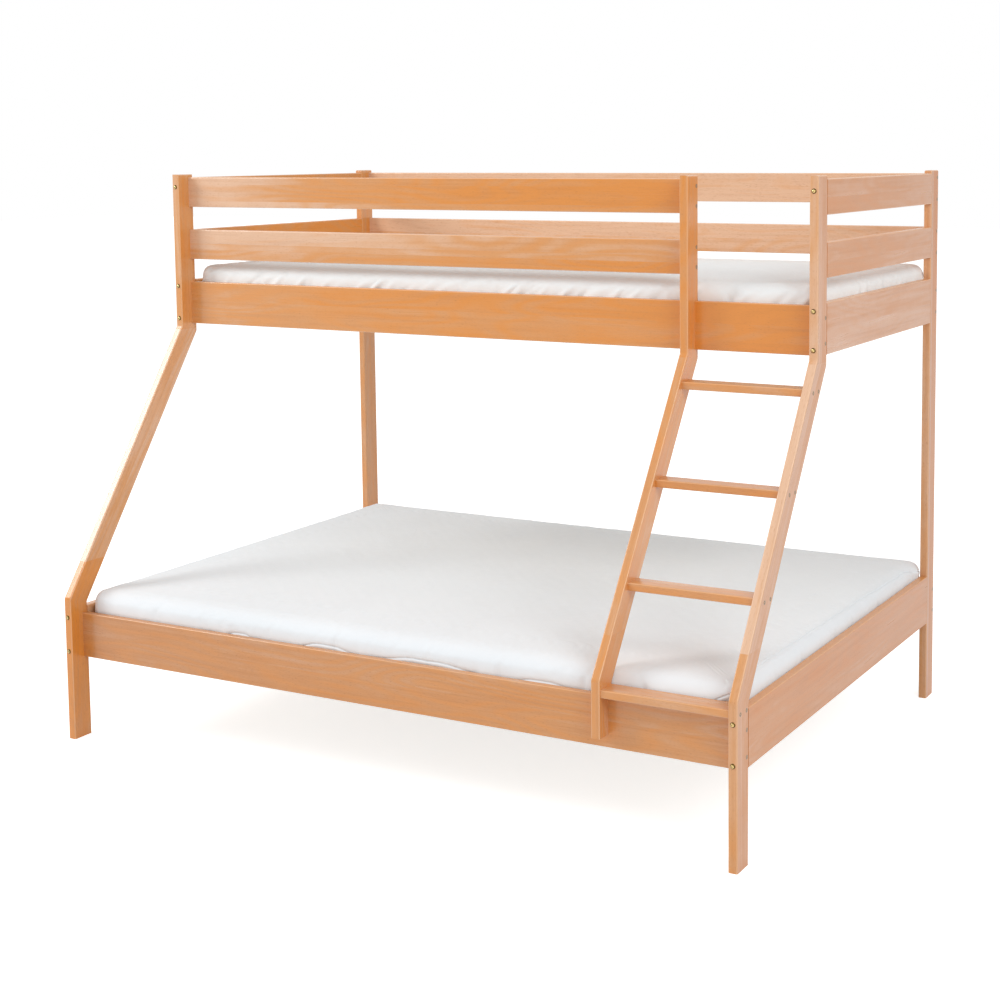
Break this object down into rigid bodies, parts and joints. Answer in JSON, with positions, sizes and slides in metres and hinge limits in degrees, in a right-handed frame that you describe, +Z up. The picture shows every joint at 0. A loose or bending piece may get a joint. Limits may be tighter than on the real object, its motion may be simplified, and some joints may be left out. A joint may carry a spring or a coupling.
{
  "type": "bunk bed",
  "caption": "Wooden bunk bed with a narrow upper bed set back over a wide lower bed, bent front posts, a sloping built-in ladder and two mattresses.",
  "frame": {"origin": "on the floor, under the middle of the bed's bounding box", "axes": "+X along the bed from the left end to the ladder end, +Y from the ladder side to the back, +Z up"},
  "size_m": [2.08, 1.5074, 1.6],
  "materials": {
    "lacquered_wood": "honey-orange stain under satin lacquer, glued strips of hardwood",
    "plain_wood": "planed and unfinished",
    "bolt_brass": "brass-plated, domed head with a hexagon socket",
    "nut_steel": "zinc-plated",
    "mattress_cotton": "white cotton cover, matte"
  },
  "bodies": {
    "frame": {"back_left_post": "lacquered_wood", "back_middle_guard": "lacquered_wood", "back_right_post": "lacquered_wood", "back_top_guard": "lacquered_wood", "barrel_nuts": "nut_steel", "bottom_step": "lacquered_wood", "centre_bearer": "plain_wood", "centre_leg": "plain_wood", "end_bolts": "bolt_brass", "front_left_post": "lacquered_wood", "front_middle_guard": "lacquered_wood", "front_right_post": "lacquered_wood", "front_top_guard": "lacquered_wood", "ladder_post": "lacquered_wood", "left_lower_end_board": "lacquered_wood", "left_middle_end_board": "lacquered_wood", "left_top_end_board": "lacquered_wood", "left_upper_end_board": "lacquered_wood", "lower_back_ledger": "plain_wood", "lower_back_rail": "lacquered_wood", "lower_front_ledger": "plain_wood", "lower_front_rail": "lacquered_wood", "lower_mattress": "mattress_cotton", "lower_slats": "plain_wood", "right_lower_end_board": "lacquered_wood", "right_middle_end_board": "lacquered_wood", "right_top_end_board": "lacquered_wood", "right_upper_end_board": "lacquered_wood", "rung_1": "lacquered_wood", "rung_2": "lacquered_wood", "rung_3": "lacquered_wood", "upper_back_ledger": "plain_wood", "upper_back_rail": "lacquered_wood", "upper_front_ledger": "plain_wood", "upper_front_rail": "lacquered_wood", "upper_slats": "plain_wood"},
    "upper_mattress_body": {"upper_mattress": "mattress_cotton"}
  },
  "joints": [
    {"name": "upper_mattress_lift", "type": "slide", "parent": "frame", "child": "upper_mattress_body", "axis": [0, 0, 1], "range_m": [0, 0.4]}
  ]
}
